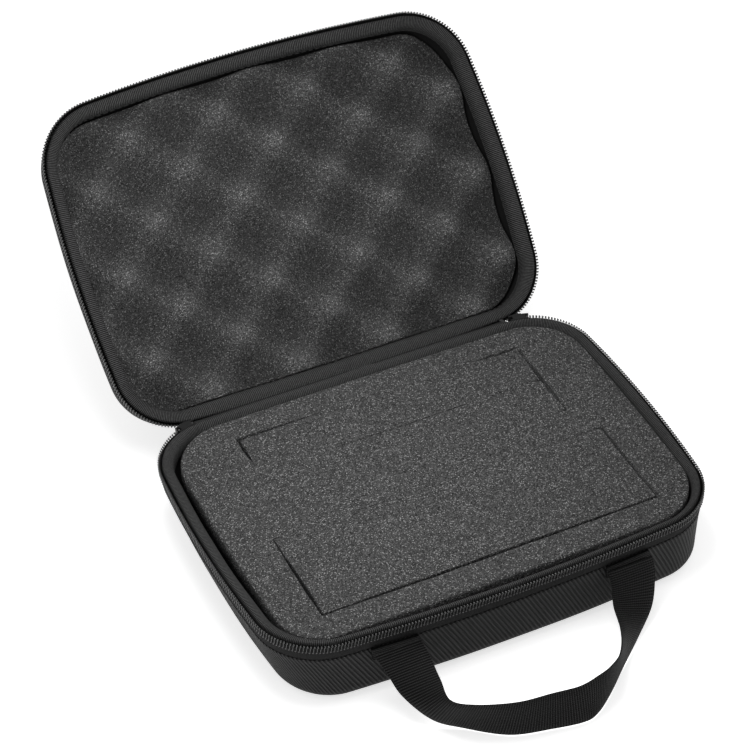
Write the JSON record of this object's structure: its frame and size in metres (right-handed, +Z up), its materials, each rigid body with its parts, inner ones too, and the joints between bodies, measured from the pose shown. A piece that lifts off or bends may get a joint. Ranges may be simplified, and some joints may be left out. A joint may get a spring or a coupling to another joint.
{
  "type": "zip carry case",
  "caption": "Semi-hard zip carry case for small tabletop pieces, open, with an egg-crate lid pad, cut foam blocks in the base and a webbing handle.",
  "frame": {"origin": "middle of the flat underside of the base", "axes": "+Z up, +Y from the handle side to the hinge side, +X to the right seen from the handle side"},
  "size_m": [0.2638, 0.408, 0.1687],
  "materials": {
    "nylon": "woven ballistic nylon over moulded foam, slight sheen",
    "lining": "matt knitted lining",
    "binding": "ribbed cloth tape, matt",
    "tape": "plain woven zip tape, matt",
    "coil": "satin nylon coil",
    "foam": "open-cell foam, speckled, matt",
    "crate": "open-cell foam, speckled, matt",
    "webbing": "ribbed nylon webbing",
    "metal": "black enamelled zinc, satin"
  },
  "bodies": {
    "case_base": {"base_shell": "nylon", "base_lining": "lining", "base_rim_binding": "binding", "base_zipper_tape": "tape", "base_zipper_coil": "coil", "base_foam_surround": "foam", "base_foam_pad": "foam", "handle_end_left": "webbing", "handle_end_right": "webbing", "hinge_cloth_base": "binding", "zip_end_tab_left": "tape", "zip_end_tab_right": "tape"},
    "lid": {"lid_shell": "nylon", "lid_lining": "lining", "lid_rim_binding": "binding", "lid_zipper_tape": "tape", "lid_zipper_coil": "coil", "lid_egg_crate_foam": "crate", "hinge_cloth_lid": "binding"},
    "handle": {"handle_webbing": "webbing"},
    "foam_block_back": {"foam_block_back": "foam"},
    "foam_block_middle": {"foam_block_middle": "foam"},
    "foam_block_front": {"foam_block_front": "foam"},
    "slider_left": {"zip_slider_left": "metal"},
    "slider_right": {"zip_slider_right": "metal"},
    "pull_left": {"zip_pull_left": "metal"},
    "pull_right": {"zip_pull_right": "metal"}
  },
  "joints": [
    {"name": "lid_hinge", "type": "hinge", "parent": "case_base", "child": "lid", "pos_m": [0, 0.0935, 0.0396], "axis": [-1, 0, 0], "range_deg": [-135.7, 44.3]},
    {"name": "handle_swing", "type": "hinge", "parent": "case_base", "child": "handle", "pos_m": [0, -0.0976, 0.0335], "axis": [-1, 0, 0], "range_deg": [0, 105]},
    {"name": "foam_block_back_lift", "type": "slide", "parent": "case_base", "child": "foam_block_back", "axis": [0, 0, 1], "range_m": [0, 0.045]},
    {"name": "foam_block_middle_lift", "type": "slide", "parent": "case_base", "child": "foam_block_middle", "axis": [0, 0, 1], "range_m": [0, 0.045]},
    {"name": "foam_block_front_lift", "type": "slide", "parent": "case_base", "child": "foam_block_front", "axis": [0, 0, 1], "range_m": [0, 0.045]},
    {"name": "slider_left_travel", "type": "hinge", "parent": "case_base", "child": "slider_left", "pos_m": [-0.09363, 0.05651, 0.0418], "axis": [0, 0, -1], "range_deg": [-58, 0]},
    {"name": "slider_right_travel", "type": "hinge", "parent": "case_base", "child": "slider_right", "pos_m": [0.09363, 0.05651, 0.0418], "axis": [0, 0, 1], "range_deg": [-58, 0]},
    {"name": "pull_left_swing", "type": "hinge", "parent": "slider_left", "child": "pull_left", "pos_m": [-0.10216, 0.09344, 0.0425], "axis": [-0.225, 0.9744, 0], "range_deg": [-25, 35]},
    {"name": "pull_right_swing", "type": "hinge", "parent": "slider_right", "child": "pull_right", "pos_m": [0.10216, 0.09344, 0.0425], "axis": [-0.225, -0.9744, 0], "range_deg": [-25, 35]}
  ]
}
